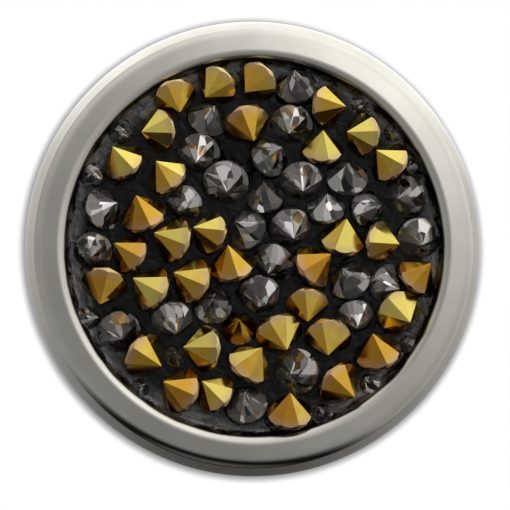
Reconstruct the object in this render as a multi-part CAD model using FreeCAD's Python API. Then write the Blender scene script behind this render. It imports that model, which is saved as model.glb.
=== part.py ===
import FreeCAD, Part
import math
import os

from FreeCAD import Placement, Rotation, Vector

os.makedirs("parts", exist_ok=True)

# Frame: face toward -Y, +Z up as worn, y = 0 on the rear rim that rests on the cloth.
# Depths marked "height" are measured from that rim toward the front.

RING_R = 16.5
OPENING_R = 13.6
BORE_R = 14.25
REAR_RIM_R = 15.6
LIP_HEIGHT = 2.6
CREST_HEIGHT = 3.65

# The bezel's front, from the side wall inward: bend radius, tilt where the bend starts and
# tilt where it ends (degrees, 90 at the side wall, negative once the surface faces the centre).
SIDE_BEND = (2.25, 90, 45)
SHOULDER_BEND = (1.5, 45, 12)
CREST_BEND = (0.62, 12, -9)
ROLL_BEND = (0.62, -9, -90)
FACE_TILT = CREST_BEND[1]

BACK_PLATE_R = 14.2
BACK_PLATE = (0.15, 0.75)
ADHESIVE_TOP = 0.85
CARRIER_TOP = 1.2

PAVILION_DEPTH = 0.56
GIRDLE_DEPTH = 0.04
CROWN_DEPTH = 0.17
TABLE_WIDTH = 0.6
FACETS = 8
TINY, SMALL, MEDIUM, LARGE = 2.1, 2.8, 3.1, 3.4

RESIN_FIELD = 2.3
MENISCUS = 0.55
CENTRE_ZONE_R = 5.3

POST_X = 7.5
POST_R = 0.55
POST_TIP_Y = 6.2
POST_POINT = 1.1
POST_GROOVE_Y = 4.3
PAD_R = 2.5
PAD_Y = 0.25

CLUTCH_Y = 1.5
SHELL_R = 5.7
SHELL_WALL = 0.3
SHELL_DEPTH = 1.6
SHELL_HOLE_R = 0.7
FOLD_R = 4.3
BUMP_R = 0.7
BUMP_RING_R = 3.4

LEAF = 0.3
LEAF_R = 4.85
LEAF_LEVELS = (0.45, 0.85)
LEAF_TRAVEL = 0.5
JAW_END = 2.2
JAW_GAP = 0.03
NECK_HALF = 1.8
WING_HALF = 2.6
WING_RISE = 2.4

# Each stone: x, z, height of its girdle, direction its tip leans toward (degrees from +X
# toward +Z), lean away from the front (degrees), turn about its own axis, girdle diameter.
GOLD = [
    (-5.75, 10.85, 2.9, 285, 50, 10, MEDIUM),
    (-6.9, 8.4, 2.9, 190, 50, 30, MEDIUM),
    (-9.4, 6.1, 2.9, 130, 50, 20, MEDIUM),
    (-6.3, 5.1, 2.9, 130, 50, 0, MEDIUM),
    (-2.75, 11.7, 2.9, 230, 50, 15, MEDIUM),
    (0.2, 12.0, 2.9, 225, 50, 25, MEDIUM),
    (-0.6, 8.9, 2.9, 290, 50, 10, LARGE),
    (5.3, 10.2, 2.9, 355, 45, 20, MEDIUM),
    (7.8, 8.2, 2.9, 178, 45, 5, MEDIUM),
    (4.9, 7.0, 2.9, 90, 55, 15, MEDIUM),
    (9.8, 6.2, 2.9, 145, 50, 30, MEDIUM),
    (-8.0, 2.3, 2.9, 113, 50, 12, LARGE),
    (-5.8, 0.5, 2.9, 163, 55, 20, LARGE),
    (-8.9, -0.5, 2.9, 150, 55, 22, MEDIUM),
    (-10.8, -2.7, 2.9, 258, 55, 5, LARGE),
    (-7.4, -3.0, 2.9, 153, 55, 20, LARGE),
    (-4.5, -2.4, 2.9, 160, 50, 25, LARGE),
    (-3.2, 1.0, 2.9, 165, 50, 0, MEDIUM),
    (-1.6, -1.4, 2.9, 104, 55, 10, LARGE),
    (4.2, -1.4, 2.9, 35, 55, 20, LARGE),
    (3.8, -4.1, 2.9, 268, 50, 5, MEDIUM),
    (-1.1, -5.7, 2.1, 90, 15, 15, SMALL),
    (6.3, 0.5, 2.9, 80, 55, 25, LARGE),
    (9.1, 0.4, 2.9, 350, 50, 8, MEDIUM),
    (11.7, -2.1, 2.9, 45, 50, 35, MEDIUM),
    (10.5, -4.7, 2.9, 307, 30, 20, LARGE),
    (5.3, -6.5, 2.9, 265, 45, 10, LARGE),
    (8.9, -7.6, 2.9, 110, 50, 15, LARGE),
    (6.1, -9.8, 2.9, 315, 50, 10, LARGE),
    (2.5, -11.9, 2.9, 90, 50, 22, LARGE),
    (1.8, -6.2, 2.9, 290, 45, 18, LARGE),
    (-0.4, -8.5, 2.9, 55, 55, 5, LARGE),
    (-3.6, -7.3, 2.9, 178, 57, 34, LARGE),
    (-2.8, -10.5, 2.9, 140, 50, 12, MEDIUM),
    (-5.3, -10.3, 2.9, 155, 50, 28, LARGE),
    (-8.0, -7.8, 2.9, 328, 55, 29, LARGE),
]
SMOKE = [
    (-3.35, 9.35, 2.3, 60, 31, 10, MEDIUM),
    (-4.0, 6.75, 2.7, 250, 30, 25, MEDIUM),
    (3.0, 11.7, 2.7, 100, 35, 5, MEDIUM),
    (2.7, 8.9, 2.7, 250, 30, 20, MEDIUM),
    (1.1, 6.6, 2.7, 30, 35, 15, MEDIUM),
    (-2.1, 4.65, 2.7, 270, 25, 30, LARGE),
    (3.4, 4.8, 2.7, 270, 30, 8, MEDIUM),
    (6.7, 5.1, 2.7, 90, 30, 20, MEDIUM),
    (-9.5, 8.25, 2.1, 320, 30, 12, TINY),
    (-11.5, 5.1, 2.1, 330, 30, 28, TINY),
    (7.8, 10.4, 2.0, 230, 20, 16, TINY),
    (10.1, 8.4, 1.9, 200, 15, 34, TINY),
    (11.55, 5.75, 2.0, 190, 25, 6, TINY),
    (-10.9, 2.7, 2.7, 20, 40, 18, MEDIUM),
    (-11.6, -0.3, 2.7, 250, 20, 9, SMALL),
    (-5.1, 3.2, 2.5, 240, 30, 22, SMALL),
    (0.8, 3.6, 2.7, 100, 40, 14, SMALL),
    (-0.6, 1.3, 2.7, 150, 35, 26, MEDIUM),
    (2.6, 1.4, 2.7, 280, 30, 11, MEDIUM),
    (1.4, -1.1, 2.6, 240, 35, 19, MEDIUM),
    (0.4, -3.4, 2.7, 265, 35, 27, MEDIUM),
    (-3.0, -4.2, 2.6, 100, 15, 7, SMALL),
    (5.2, 2.8, 2.7, 90, 40, 31, SMALL),
    (8.2, 2.8, 2.6, 10, 35, 13, SMALL),
    (10.9, 3.7, 2.7, 200, 25, 24, MEDIUM),
    (11.9, 0.7, 2.7, 270, 20, 4, MEDIUM),
    (6.9, -2.35, 2.7, 130, 35, 17, MEDIUM),
    (9.5, -2.5, 2.4, 330, 45, 29, SMALL),
    (7.3, -5.0, 2.7, 270, 35, 12, SMALL),
    (3.0, -8.95, 2.6, 200, 17, 21, LARGE),
    (-9.7, -6.1, 2.7, 280, 20, 33, MEDIUM),
    (-5.9, -5.2, 2.5, 280, 40, 8, MEDIUM),
    (-0.6, -11.3, 2.7, 100, 30, 25, MEDIUM),
    (-11.8, -5.1, 2.0, 0, 30, 15, TINY),
    (-8.2, -10.15, 1.87, 45, 20, 30, TINY),
    (4.9, -11.9, 1.9, 120, 22, 10, TINY),
    (8.35, -9.8, 1.95, 130, 30, 20, TINY),
    (11.15, -7.0, 1.87, 150, 20, 5, TINY),
    (-5.7, -7.8, 1.9, 90, 10, 18, TINY),
]


def export(name, solids):
    shape = solids[0] if len(solids) == 1 else Part.makeCompound(solids)
    shape.exportStep("parts/%s.step" % name)
    print(name, len(solids), round(shape.Volume, 3))


def line(a, b):
    return Part.LineSegment(a, b).toShape()


def arc(a, middle, b):
    return Part.Arc(a, middle, b).toShape()


def section_edges(steps):
    """Closed chain of edges; a step is a point, or a pair (through, point) for an arc."""
    ends = [step[1] if isinstance(step, tuple) else step for step in steps]
    edges = []
    for k, step in enumerate(steps):
        start = ends[k - 1]
        if isinstance(step, tuple):
            edges.append(arc(start, step[0], step[1]))
        else:
            edges.append(line(start, step))
    return edges


def turned(steps):
    """Solid turned about the Y axis from a closed section in the XY plane."""
    face = Part.Face(Part.Wire(section_edges(steps)))
    return face.revolve(Vector(0, 0, 0), Vector(0, 1, 0), 360)


def at(radius, height):
    """Section point, height measured toward the front."""
    return Vector(radius, -height, 0)


def disc(radius, low, high):
    return Part.makeCylinder(radius, high - low, Vector(0, -low, 0), Vector(0, -1, 0))


def sine(tilt):
    return math.sin(math.radians(tilt))


def cosine(tilt):
    return math.cos(math.radians(tilt))


def bend_step(start, bend):
    """Arc step for a bend of the bezel's front, and the section point where it ends."""
    radius, tilt_in, tilt_out = bend
    middle = (tilt_in + tilt_out) / 2
    centre = (start[0] - radius * sine(tilt_in), start[1] - radius * cosine(tilt_in))
    ends = [(centre[0] + radius * sine(t), centre[1] + radius * cosine(t)) for t in (middle, tilt_out)]
    return (at(*ends[0]), at(*ends[1])), ends[1]


def bezel_ring():
    """Ring whose front is a shallow cone between a rounded side and a rolled inner edge."""
    bends = (SIDE_BEND, SHOULDER_BEND, CREST_BEND, ROLL_BEND)
    bent = sum(radius * (sine(tilt_in) - sine(tilt_out)) for radius, tilt_in, tilt_out in bends)
    cone_run = RING_R - OPENING_R - bent
    cone_rise = cone_run * math.tan(math.radians(FACE_TILT))
    risen = sum(radius * (cosine(tilt_out) - cosine(tilt_in)) for radius, tilt_in, tilt_out in bends[:2])
    crest_rise = CREST_BEND[0] * (1 - cosine(FACE_TILT))
    side = (RING_R, CREST_HEIGHT - crest_rise - cone_rise - risen)
    side_arc, shoulder = bend_step(side, SIDE_BEND)
    shoulder_arc, face = bend_step(shoulder, SHOULDER_BEND)
    crest = (face[0] - cone_run, face[1] + cone_rise)
    crest_arc, roll = bend_step(crest, CREST_BEND)
    roll_arc = bend_step(roll, ROLL_BEND)[0]
    return turned([
        at(BORE_R, 0),
        at(REAR_RIM_R, 0),
        (at(16.25, 0.25), at(RING_R, 0.9)),
        at(*side),
        side_arc,
        shoulder_arc,
        at(*crest),
        crest_arc,
        roll_arc,
        at(OPENING_R, LIP_HEIGHT),
        at(BORE_R, LIP_HEIGHT),
    ])


def back_plate():
    return disc(BACK_PLATE_R, BACK_PLATE[0], BACK_PLATE[1])


def adhesive_film():
    return disc(BACK_PLATE_R - 0.2, BACK_PLATE[1], ADHESIVE_TOP)


def carrier_disc():
    return disc(BORE_R - 0.05, ADHESIVE_TOP, CARRIER_TOP)


def resin_blank():
    """Poured bed: level field, creeping up the rolled edge of the bezel in a meniscus."""
    foot = OPENING_R - MENISCUS
    middle = (foot + MENISCUS * sine(45), RESIN_FIELD + MENISCUS * (1 - cosine(45)))
    return turned([
        at(0, CARRIER_TOP),
        at(BORE_R, CARRIER_TOP),
        at(BORE_R, LIP_HEIGHT),
        at(OPENING_R, LIP_HEIGHT),
        at(OPENING_R, RESIN_FIELD + MENISCUS),
        (at(*middle), at(foot, RESIN_FIELD)),
        at(0, RESIN_FIELD),
    ])


def chaton(diameter):
    """Pointed chaton, tip toward +Z, girdle on z = 0."""
    corner = 1.005 * diameter / 2 / math.cos(math.pi / FACETS)
    under = -GIRDLE_DEPTH * diameter
    table_z = under - CROWN_DEPTH * diameter

    def octagon(radius, z):
        turns = [2 * math.pi * k / FACETS for k in range(FACETS)]
        return [Vector(radius * math.cos(t), radius * math.sin(t), z) for t in turns]

    levels = [octagon(TABLE_WIDTH * corner, table_z), octagon(corner, under), octagon(corner, 0)]
    tip = Vector(0, 0, PAVILION_DEPTH * diameter)
    faces = [Part.Face(Part.makePolygon(levels[0] + levels[0][:1]))]
    for k in range(FACETS):
        n = (k + 1) % FACETS
        for low, high in zip(levels, levels[1:]):
            faces.append(Part.Face(Part.makePolygon([low[k], low[n], high[n], high[k], low[k]])))
        faces.append(Part.Face(Part.makePolygon([levels[2][k], levels[2][n], tip, levels[2][k]])))
    rough = Part.makeSolid(Part.makeShell(faces))
    rounding = Part.makeCylinder(diameter / 2, 3 * diameter, Vector(0, 0, -diameter))
    return rough.common(rounding).Solids[0]


def set_stone(cuts, x, z, height, direction, lean, turn, diameter):
    """Copy of a cut stone, leaned over and set at its place in the bed."""
    heading = math.radians(direction)
    tilt = math.radians(lean)
    axis = Vector(
        math.sin(tilt) * math.cos(heading),
        -math.cos(tilt),
        math.sin(tilt) * math.sin(heading),
    )
    swing = Rotation(Vector(0, 0, 1), axis)
    stone = cuts[diameter].copy()
    stone.Placement = Placement(Vector(x, -height, z), swing.multiply(Rotation(Vector(0, 0, 1), turn)))
    return stone


def zone_of(x, z):
    """Name of the part of the field a stone belongs to."""
    if math.hypot(x, z) < CENTRE_ZONE_R:
        return "centre"
    return ("upper_" if z > 0 else "lower_") + ("left" if x < 0 else "right")


def tack_post(side):
    """Turned post with its solder pad, point toward +Y."""
    neck = PAD_Y + 0.35
    post = turned([
        Vector(0, -BACK_PLATE[0], 0),
        Vector(PAD_R, -BACK_PLATE[0], 0),
        Vector(PAD_R, PAD_Y - 0.12, 0),
        (Vector(PAD_R - 0.035, PAD_Y - 0.035, 0), Vector(PAD_R - 0.12, PAD_Y, 0)),
        Vector(POST_R + 0.35, PAD_Y, 0),
        (Vector(POST_R + 0.1, PAD_Y + 0.1, 0), Vector(POST_R, neck, 0)),
        Vector(POST_R, POST_GROOVE_Y - 0.15, 0),
        (Vector(POST_R - 0.08, POST_GROOVE_Y, 0), Vector(POST_R, POST_GROOVE_Y + 0.15, 0)),
        Vector(POST_R, POST_TIP_Y - POST_POINT, 0),
        Vector(0.1, POST_TIP_Y, 0),
        Vector(0, POST_TIP_Y, 0),
    ])
    post.translate(Vector(side * POST_X, 0, 0))
    return post


def clutch_shell(side):
    """Shallow cup with a folded-in lip and three bumps toward the cloth."""
    inner = SHELL_R - SHELL_WALL
    fold = SHELL_DEPTH - SHELL_WALL
    shell = turned([
        Vector(SHELL_HOLE_R, 0, 0),
        Vector(SHELL_R - 0.4, 0, 0),
        (Vector(SHELL_R - 0.117, 0.117, 0), Vector(SHELL_R, 0.4, 0)),
        Vector(SHELL_R, SHELL_DEPTH - 0.4, 0),
        (Vector(SHELL_R - 0.117, SHELL_DEPTH - 0.117, 0), Vector(SHELL_R - 0.4, SHELL_DEPTH, 0)),
        Vector(FOLD_R, SHELL_DEPTH, 0),
        Vector(FOLD_R, fold, 0),
        Vector(inner, fold, 0),
        Vector(inner, SHELL_WALL, 0),
        Vector(SHELL_HOLE_R, SHELL_WALL, 0),
    ])
    for k in range(3):
        turn = math.radians(90 + 120 * k)
        middle = Vector(BUMP_RING_R * math.cos(turn), 0.35, BUMP_RING_R * math.sin(turn))
        bump = Part.makeSphere(BUMP_R, middle)
        below = Part.makeBox(4, 0.5, 4, middle + Vector(-2, -0.75, -2))
        shell = shell.fuse(bump.common(below))
    shell = shell.removeSplitter()
    shell.translate(Vector(side * POST_X, CLUTCH_Y, 0))
    return shell


def wing(level):
    """Flared strip rising out of the cup on the +Z side and ending in a curl."""
    y = level + LEAF / 2
    top = WING_RISE - level

    def p(z, rise):
        return Vector(0, y + rise, z)

    path = Part.Wire([
        line(p(1.0, 0), p(3.0, 0)),
        arc(p(3.0, 0), p(3.424, 0.176), p(3.6, 0.6)),
        line(p(3.6, 0.6), p(3.6, top)),
        arc(p(3.6, top), p(3.761, top + 0.6), p(4.2, top + 1.039)),
        line(p(4.2, top + 1.039), p(6.105, top + 2.139)),
        arc(p(6.105, top + 2.139), p(6.338, top + 2.701), p(5.855, top + 3.072)),
    ])
    half = LEAF / 2
    wide = WING_HALF
    strip = Part.makePolygon([
        Vector(-wide, y - half, 1.0),
        Vector(wide, y - half, 1.0),
        Vector(wide, y + half, 1.0),
        Vector(-wide, y + half, 1.0),
        Vector(-wide, y - half, 1.0),
    ])
    swept = path.makePipeShell([strip], True, True)
    outline = Part.makePolygon([
        Vector(-NECK_HALF, 0, 0.5),
        Vector(NECK_HALF, 0, 0.5),
        Vector(NECK_HALF, 0, 3.9),
        Vector(WING_HALF, 0, 4.8),
        Vector(WING_HALF, 0, 5.6),
        Vector(WING_HALF - 0.7, 0, 7.0),
        Vector(0.7 - WING_HALF, 0, 7.0),
        Vector(-WING_HALF, 0, 5.6),
        Vector(-WING_HALF, 0, 4.8),
        Vector(-NECK_HALF, 0, 3.9),
        Vector(-NECK_HALF, 0, 0.5),
    ])
    return swept.common(Part.Face(outline).extrude(Vector(0, 8, 0)))


def clutch_leaf(side, upright, level):
    """Spring leaf: jaw plate with a slotted hole, and its wing on the other side."""
    jaw_r = POST_R + JAW_GAP
    plate = Part.makeCylinder(LEAF_R, LEAF, Vector(0, level, 0), Vector(0, 1, 0))
    plate = plate.common(Part.makeBox(10, 1, JAW_END + 1.6, Vector(-5, level - 0.3, -JAW_END)))
    leaf = plate.fuse(wing(level))
    for z in (0, LEAF_TRAVEL + 0.05):
        leaf = leaf.cut(Part.makeCylinder(jaw_r, 1, Vector(0, level - 0.3, z), Vector(0, 1, 0)))
    slot = Part.makeBox(2 * jaw_r, 1, LEAF_TRAVEL + 0.05, Vector(-jaw_r, level - 0.3, 0))
    leaf = leaf.cut(slot).removeSplitter()
    if upright < 0:
        leaf.rotate(Vector(0, 0, 0), Vector(0, 1, 0), 180)
    leaf.translate(Vector(side * POST_X, CLUTCH_Y, 0))
    return leaf


def set_field():
    """Stones by node name, and the bed with a pocket for each of them."""
    cuts = {size: chaton(size) for size in (TINY, SMALL, MEDIUM, LARGE)}
    nodes = {}
    bed = resin_blank()
    for colour, places in (("gold", GOLD), ("smoke", SMOKE)):
        for place in places:
            stone = set_stone(cuts, *place)
            name = "%s_stones_%s" % (colour, zone_of(place[0], place[1]))
            nodes.setdefault(name, []).append(stone)
            bed = bed.cut(stone)
    return nodes, bed


export("bezel_ring", [bezel_ring()])
export("back_plate", [back_plate()])
export("adhesive_film", [adhesive_film()])
export("carrier_disc", [carrier_disc()])

stone_nodes, resin_bed = set_field()
export("resin_bed", resin_bed.Solids)
for node, stones in stone_nodes.items():
    export(node, stones)

for label, side in (("left", -1), ("right", 1)):
    export("tack_post_" + label, [tack_post(side)])
    export("clutch_shell_" + label, [clutch_shell(side)])
    export("clutch_leaf_%s_upper" % label, clutch_leaf(side, 1, LEAF_LEVELS[0]).Solids)
    export("clutch_leaf_%s_lower" % label, clutch_leaf(side, -1, LEAF_LEVELS[1]).Solids)
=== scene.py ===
import math

import bmesh
import bpy
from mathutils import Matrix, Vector


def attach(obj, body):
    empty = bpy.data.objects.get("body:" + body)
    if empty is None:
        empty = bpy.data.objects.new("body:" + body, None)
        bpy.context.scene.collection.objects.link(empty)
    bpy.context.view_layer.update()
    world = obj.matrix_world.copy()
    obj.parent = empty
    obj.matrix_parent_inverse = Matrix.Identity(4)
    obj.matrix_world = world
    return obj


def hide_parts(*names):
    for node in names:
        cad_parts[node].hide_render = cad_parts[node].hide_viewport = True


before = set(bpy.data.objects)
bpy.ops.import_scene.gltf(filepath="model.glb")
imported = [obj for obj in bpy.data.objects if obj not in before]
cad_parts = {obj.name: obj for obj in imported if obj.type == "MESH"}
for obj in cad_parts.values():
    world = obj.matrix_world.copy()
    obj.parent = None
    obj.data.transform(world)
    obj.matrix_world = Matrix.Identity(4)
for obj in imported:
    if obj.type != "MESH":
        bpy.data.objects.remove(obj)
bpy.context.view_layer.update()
scene = bpy.context.scene
mm = 0.001


def toLinear(hexColour):
    # an sRGB hex colour as linear red, green, blue and alpha
    values = [int(hexColour[i:i + 2], 16) / 255 for i in (1, 3, 5)]
    return tuple(v / 12.92 if v <= 0.04045 else ((v + 0.055) / 1.055) ** 2.4 for v in values) + (1.0,)


def patternScale(sizeMm):
    # the texture scale that makes a pattern's cells this size
    return 1 / (sizeMm * mm)


def addNode(tree, kind, inputs=None, stops=(), **settings):
    # adds one node, sets its options, fills or links its inputs by name or number, and places the
    # stops of its colour ramp
    node = tree.nodes.new(kind)
    for name, value in settings.items():
        setattr(node, name, value)
    for name, value in (inputs or {}).items():
        if isinstance(value, bpy.types.NodeSocket):
            tree.links.new(value, node.inputs[name])
        else:
            node.inputs[name].default_value = value
    for k, (place, colour) in enumerate(stops):
        ramp = node.color_ramp
        stop = ramp.elements[k] if k < len(ramp.elements) else ramp.elements.new(place)
        stop.position = place
        stop.color = toLinear(colour)
    return node


def newMaterial(name, **surface):
    # a Principled surface; its fixed numbers go straight onto its own sockets
    material = bpy.data.materials.new(name)
    material.use_nodes = True
    tree = material.node_tree
    tree.nodes.clear()
    shader = addNode(tree, "ShaderNodeBsdfPrincipled", {k.replace("_", " "): v for k, v in surface.items()})
    addNode(tree, "ShaderNodeOutputMaterial", {"Surface": shader.outputs[0]})
    place = addNode(tree, "ShaderNodeTexCoord").outputs["Object"]
    return material, tree, shader, place


def linkSurface(tree, shader, **sources):
    # the patterns that drive the surface's sockets, named as in newMaterial
    for name, source in sources.items():
        tree.links.new(source, shader.inputs[name.replace("_", " ")])


def turnedPlace(tree, place, windMm):
    # where a spot lies on a turned part: its y, its distance from the badge's axis, and its way
    # round the axis, taken as so few mm a radian that a pattern is drawn out into lines
    axes = addNode(tree, "ShaderNodeSeparateXYZ", {0: place})
    flat = addNode(tree, "ShaderNodeCombineXYZ", {0: axes.outputs[0], 1: axes.outputs[2]})
    radius = addNode(tree, "ShaderNodeVectorMath", {0: flat.outputs[0]}, operation="LENGTH")
    turn = addNode(tree, "ShaderNodeMath", {0: axes.outputs[2], 1: axes.outputs[0]}, operation="ARCTAN2")
    along = addNode(tree, "ShaderNodeMath", {0: turn.outputs[0], 1: windMm * mm}, operation="MULTIPLY")
    return axes.outputs[1], radius.outputs["Value"], along.outputs[0]


def openGroup(name, sizes):
    # a Geometry Nodes tree with a named input for each size, and the identifiers of its inputs
    tree = bpy.data.node_groups.new(name, "GeometryNodeTree")
    ports = {}
    for label, kind in [("Geometry", "Geometry")] + sizes:
        port = tree.interface.new_socket(name=label, in_out="INPUT", socket_type="NodeSocket" + kind)
        ports[label] = port.identifier
    tree.interface.new_socket(name="Geometry", in_out="OUTPUT", socket_type="NodeSocketGeometry")
    given = addNode(tree, "NodeGroupInput").outputs
    return tree, ports, given


def closeGroup(tree, shape, material):
    whole = addNode(tree, "GeometryNodeRealizeInstances", {"Geometry": shape})
    coated = addNode(tree, "GeometryNodeSetMaterial", {"Geometry": whole.outputs[0], "Material": material})
    addNode(tree, "NodeGroupOutput", {"Geometry": coated.outputs[0]})


def runGroup(piece, group, sizes):
    tree, ports = group
    modifier = piece.modifiers.new(tree.name, "NODES")
    modifier.node_group = tree
    for label, value in sizes.items():
        modifier[ports[label]] = value


def roundEdges(piece, look):
    bevel = piece.modifiers.new("rounded edges", "BEVEL")
    bevel.width = look["edgeMm"] * mm
    bevel.segments = look["edgeSteps"]
    bevel.limit_method = "ANGLE"
    bevel.angle_limit = math.radians(look["edgeFrom"])


def settle(piece):
    # turns the modifiers' result into the piece's own plain mesh
    bpy.context.view_layer.update()
    evaluated = piece.evaluated_get(bpy.context.evaluated_depsgraph_get())
    mesh = bpy.data.meshes.new_from_object(evaluated)
    piece.modifiers.clear()
    piece.data = mesh


def coatMesh(mesh, material):
    mesh.materials.clear()
    mesh.materials.append(material)


def shadeMesh(mesh, sharpAngle):
    # smooth, with a crisp line wherever the surface turns by more than the angle
    mesh.shade_smooth()
    mesh.set_sharp_from_angle(angle=math.radians(sharpAngle))


def newObject(name, data):
    piece = bpy.data.objects.new(name, data)
    scene.collection.objects.link(piece)
    return piece


def claim(piece, body, node):
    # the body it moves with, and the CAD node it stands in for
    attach(piece, body)
    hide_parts(node)


def newPiece(name, mesh, material, body, node):
    coatMesh(mesh, material)
    claim(newObject(name, mesh), body, node)


def arcPoints(first, through, last, count):
    # points after the first, up to and with the last, on the arc through the middle point
    (ax, ay), (bx, by), (cx, cy) = first, through, last
    d = 2 * (ax * (by - cy) + bx * (cy - ay) + cx * (ay - by))
    sa, sb, sc = ax * ax + ay * ay, bx * bx + by * by, cx * cx + cy * cy
    ux = (sa * (by - cy) + sb * (cy - ay) + sc * (ay - by)) / d
    uy = (sa * (cx - bx) + sb * (ax - cx) + sc * (bx - ax)) / d
    radius = math.hypot(ax - ux, ay - uy)
    start, middle, end = (math.atan2(y - uy, x - ux) for x, y in (first, through, last))
    sweep = (end - start) % (2 * math.pi)
    if (middle - start) % (2 * math.pi) > sweep:
        sweep -= 2 * math.pi
    turns = [start + sweep * (k + 1) / count for k in range(count)]
    return [(ux + radius * math.cos(t), uy + radius * math.sin(t)) for t in turns]


def outlinePoints(steps, arcCount=8):
    # a step is a point (radius, y) in mm, or a pair (through, end) for an arc
    ends = [step[1] if isinstance(step[0], tuple) else step for step in steps]
    points = []
    for k, step in enumerate(steps):
        if isinstance(step[0], tuple):
            points += arcPoints(ends[k - 1], step[0], step[1], arcCount)
        else:
            points.append(step)
    return points


def turnedMesh(name, outline, segments, x=0.0, sharpAngle=28):
    # a closed outline turned about the line that runs along Y at this x; radius 0 becomes a pole
    mesh = bpy.data.meshes.new(name)
    made = bmesh.new()
    rings = []
    for radius, y in outline:
        count = 1 if radius == 0 else segments
        turns = [2 * math.pi * k / segments for k in range(count)]
        rings.append([made.verts.new(((x + radius * math.cos(t)) * mm, y * mm, radius * math.sin(t) * mm))
                      for t in turns])
    for k, ring in enumerate(rings):
        after = rings[(k + 1) % len(rings)]
        if len(ring) == 1 and len(after) == 1:
            continue
        for i in range(segments):
            corners = [ring[i % len(ring)], ring[(i + 1) % len(ring)],
                       after[(i + 1) % len(after)], after[i % len(after)]]
            made.faces.new(list(dict.fromkeys(corners)))
    bmesh.ops.recalc_face_normals(made, faces=made.faces)
    made.to_mesh(mesh)
    made.free()
    shadeMesh(mesh, sharpAngle)
    return mesh


def weldedMesh(name, node, flatAngle, weldMm=0.0008):
    # a merged copy of a CAD node, its flat triangles joined into whole facets
    made = bmesh.new()
    made.from_mesh(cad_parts[node].data)
    bmesh.ops.remove_doubles(made, verts=made.verts, dist=weldMm * mm)
    if flatAngle:
        bmesh.ops.dissolve_limit(made, angle_limit=math.radians(flatAngle), verts=made.verts,
                                 edges=made.edges, delimit={"NORMAL"})
    mesh = bpy.data.meshes.new(name)
    made.to_mesh(mesh)
    made.free()
    return mesh


def polishedSteel():
    # 316 stainless steel, turned and mop-buffed: an even, slightly warm mirror; its buffing lines,
    # drawn coarser than real ones so that they show, run round the ring and only soften the edges
    # of what it reflects; the wall of the opening is painted dark, a painted shade where the ring
    # meets the resin, and the lip above it satin
    look = {"clean": [(0.3, "#cac7be"), (0.7, "#d2cfc6")], "compound": "#3a3936",
            "lineMm": 0.09, "windMm": 4.0, "hazeMm": 3.0, "rough": (0.06, 0.11), "bump": 0.008,
            "wallMm": (13.6, 13.77), "lipMm": (13.72, 13.98), "lipRough": 0.3}
    material, tree, shader, place = newMaterial("polished stainless steel", Metallic=1.0)
    height, radius, along = turnedPlace(tree, place, look["windMm"])
    rings = addNode(tree, "ShaderNodeCombineXYZ", {0: radius, 1: height, 2: along})
    lines = addNode(tree, "ShaderNodeTexNoise",
                    {"Vector": rings.outputs[0], "Scale": patternScale(look["lineMm"]), "Detail": 3.0})
    haze = addNode(tree, "ShaderNodeTexNoise", {"Vector": place, "Scale": patternScale(look["hazeMm"])})
    both = addNode(tree, "ShaderNodeMath", {0: lines.outputs[0], 1: haze.outputs[0]}, operation="MULTIPLY")
    buffed = addNode(tree, "ShaderNodeMapRange",
                     {"Value": both.outputs[0], "From Min": 0.12, "From Max": 0.42,
                      "To Min": look["rough"][0], "To Max": look["rough"][1]})
    lip = addNode(tree, "ShaderNodeMapRange",
                  {"Value": radius, "From Min": look["lipMm"][0] * mm, "From Max": look["lipMm"][1] * mm,
                   "To Min": 1.0, "To Max": 0.0}, interpolation_type="SMOOTHSTEP")
    rough = addNode(tree, "ShaderNodeMix", {0: lip.outputs[0], 2: buffed.outputs[0], 3: look["lipRough"]})
    clean = addNode(tree, "ShaderNodeValToRGB", {0: haze.outputs[0]}, look["clean"])
    # painted shade: the wall of the opening is darkened in its colour where it meets the resin
    wall = addNode(tree, "ShaderNodeMapRange",
                   {"Value": radius, "From Min": look["wallMm"][0] * mm, "From Max": look["wallMm"][1] * mm,
                    "To Min": 1.0, "To Max": 0.0}, interpolation_type="SMOOTHSTEP")
    tint = addNode(tree, "ShaderNodeMix",
                   {0: wall.outputs[0], 6: clean.outputs[0], 7: toLinear(look["compound"])},
                   data_type="RGBA")
    bump = addNode(tree, "ShaderNodeBump",
                   {"Height": lines.outputs[0], "Strength": look["bump"], "Distance": 0.01 * mm})
    linkSurface(tree, shader, Base_Color=tint.outputs[2], Roughness=rough.outputs[0],
                Normal=bump.outputs[0])
    return material


def brushedSheet():
    # rolled stainless sheet, brushed in one direction across the badge: long fine scratches that
    # blur what it mirrors into bands
    look = {"tint": [(0.35, "#b4b4b2"), (0.65, "#c1c0bd")], "cloudMm": 4.0,
            "grainMm": 0.06, "stretch": 40.0, "rough": (0.26, 0.42), "bump": 0.12}
    material, tree, shader, place = newMaterial("brushed stainless sheet", Metallic=1.0)
    drawn = addNode(tree, "ShaderNodeMapping", {"Vector": place, "Scale": (1 / look["stretch"], 1.0, 1.0)})
    grain = addNode(tree, "ShaderNodeTexNoise",
                    {"Vector": drawn.outputs[0], "Scale": patternScale(look["grainMm"]), "Detail": 4.0})
    cloud = addNode(tree, "ShaderNodeTexNoise", {"Vector": place, "Scale": patternScale(look["cloudMm"])})
    tint = addNode(tree, "ShaderNodeValToRGB", {0: cloud.outputs[0]}, look["tint"])
    rough = addNode(tree, "ShaderNodeMapRange",
                    {"Value": grain.outputs[0], "From Min": 0.3, "From Max": 0.7,
                     "To Min": look["rough"][0], "To Max": look["rough"][1]})
    bump = addNode(tree, "ShaderNodeBump",
                   {"Height": grain.outputs[0], "Strength": look["bump"], "Distance": 0.02 * mm})
    linkSurface(tree, shader, Base_Color=tint.outputs[0], Roughness=rough.outputs[0],
                Normal=bump.outputs[0])
    return material


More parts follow.
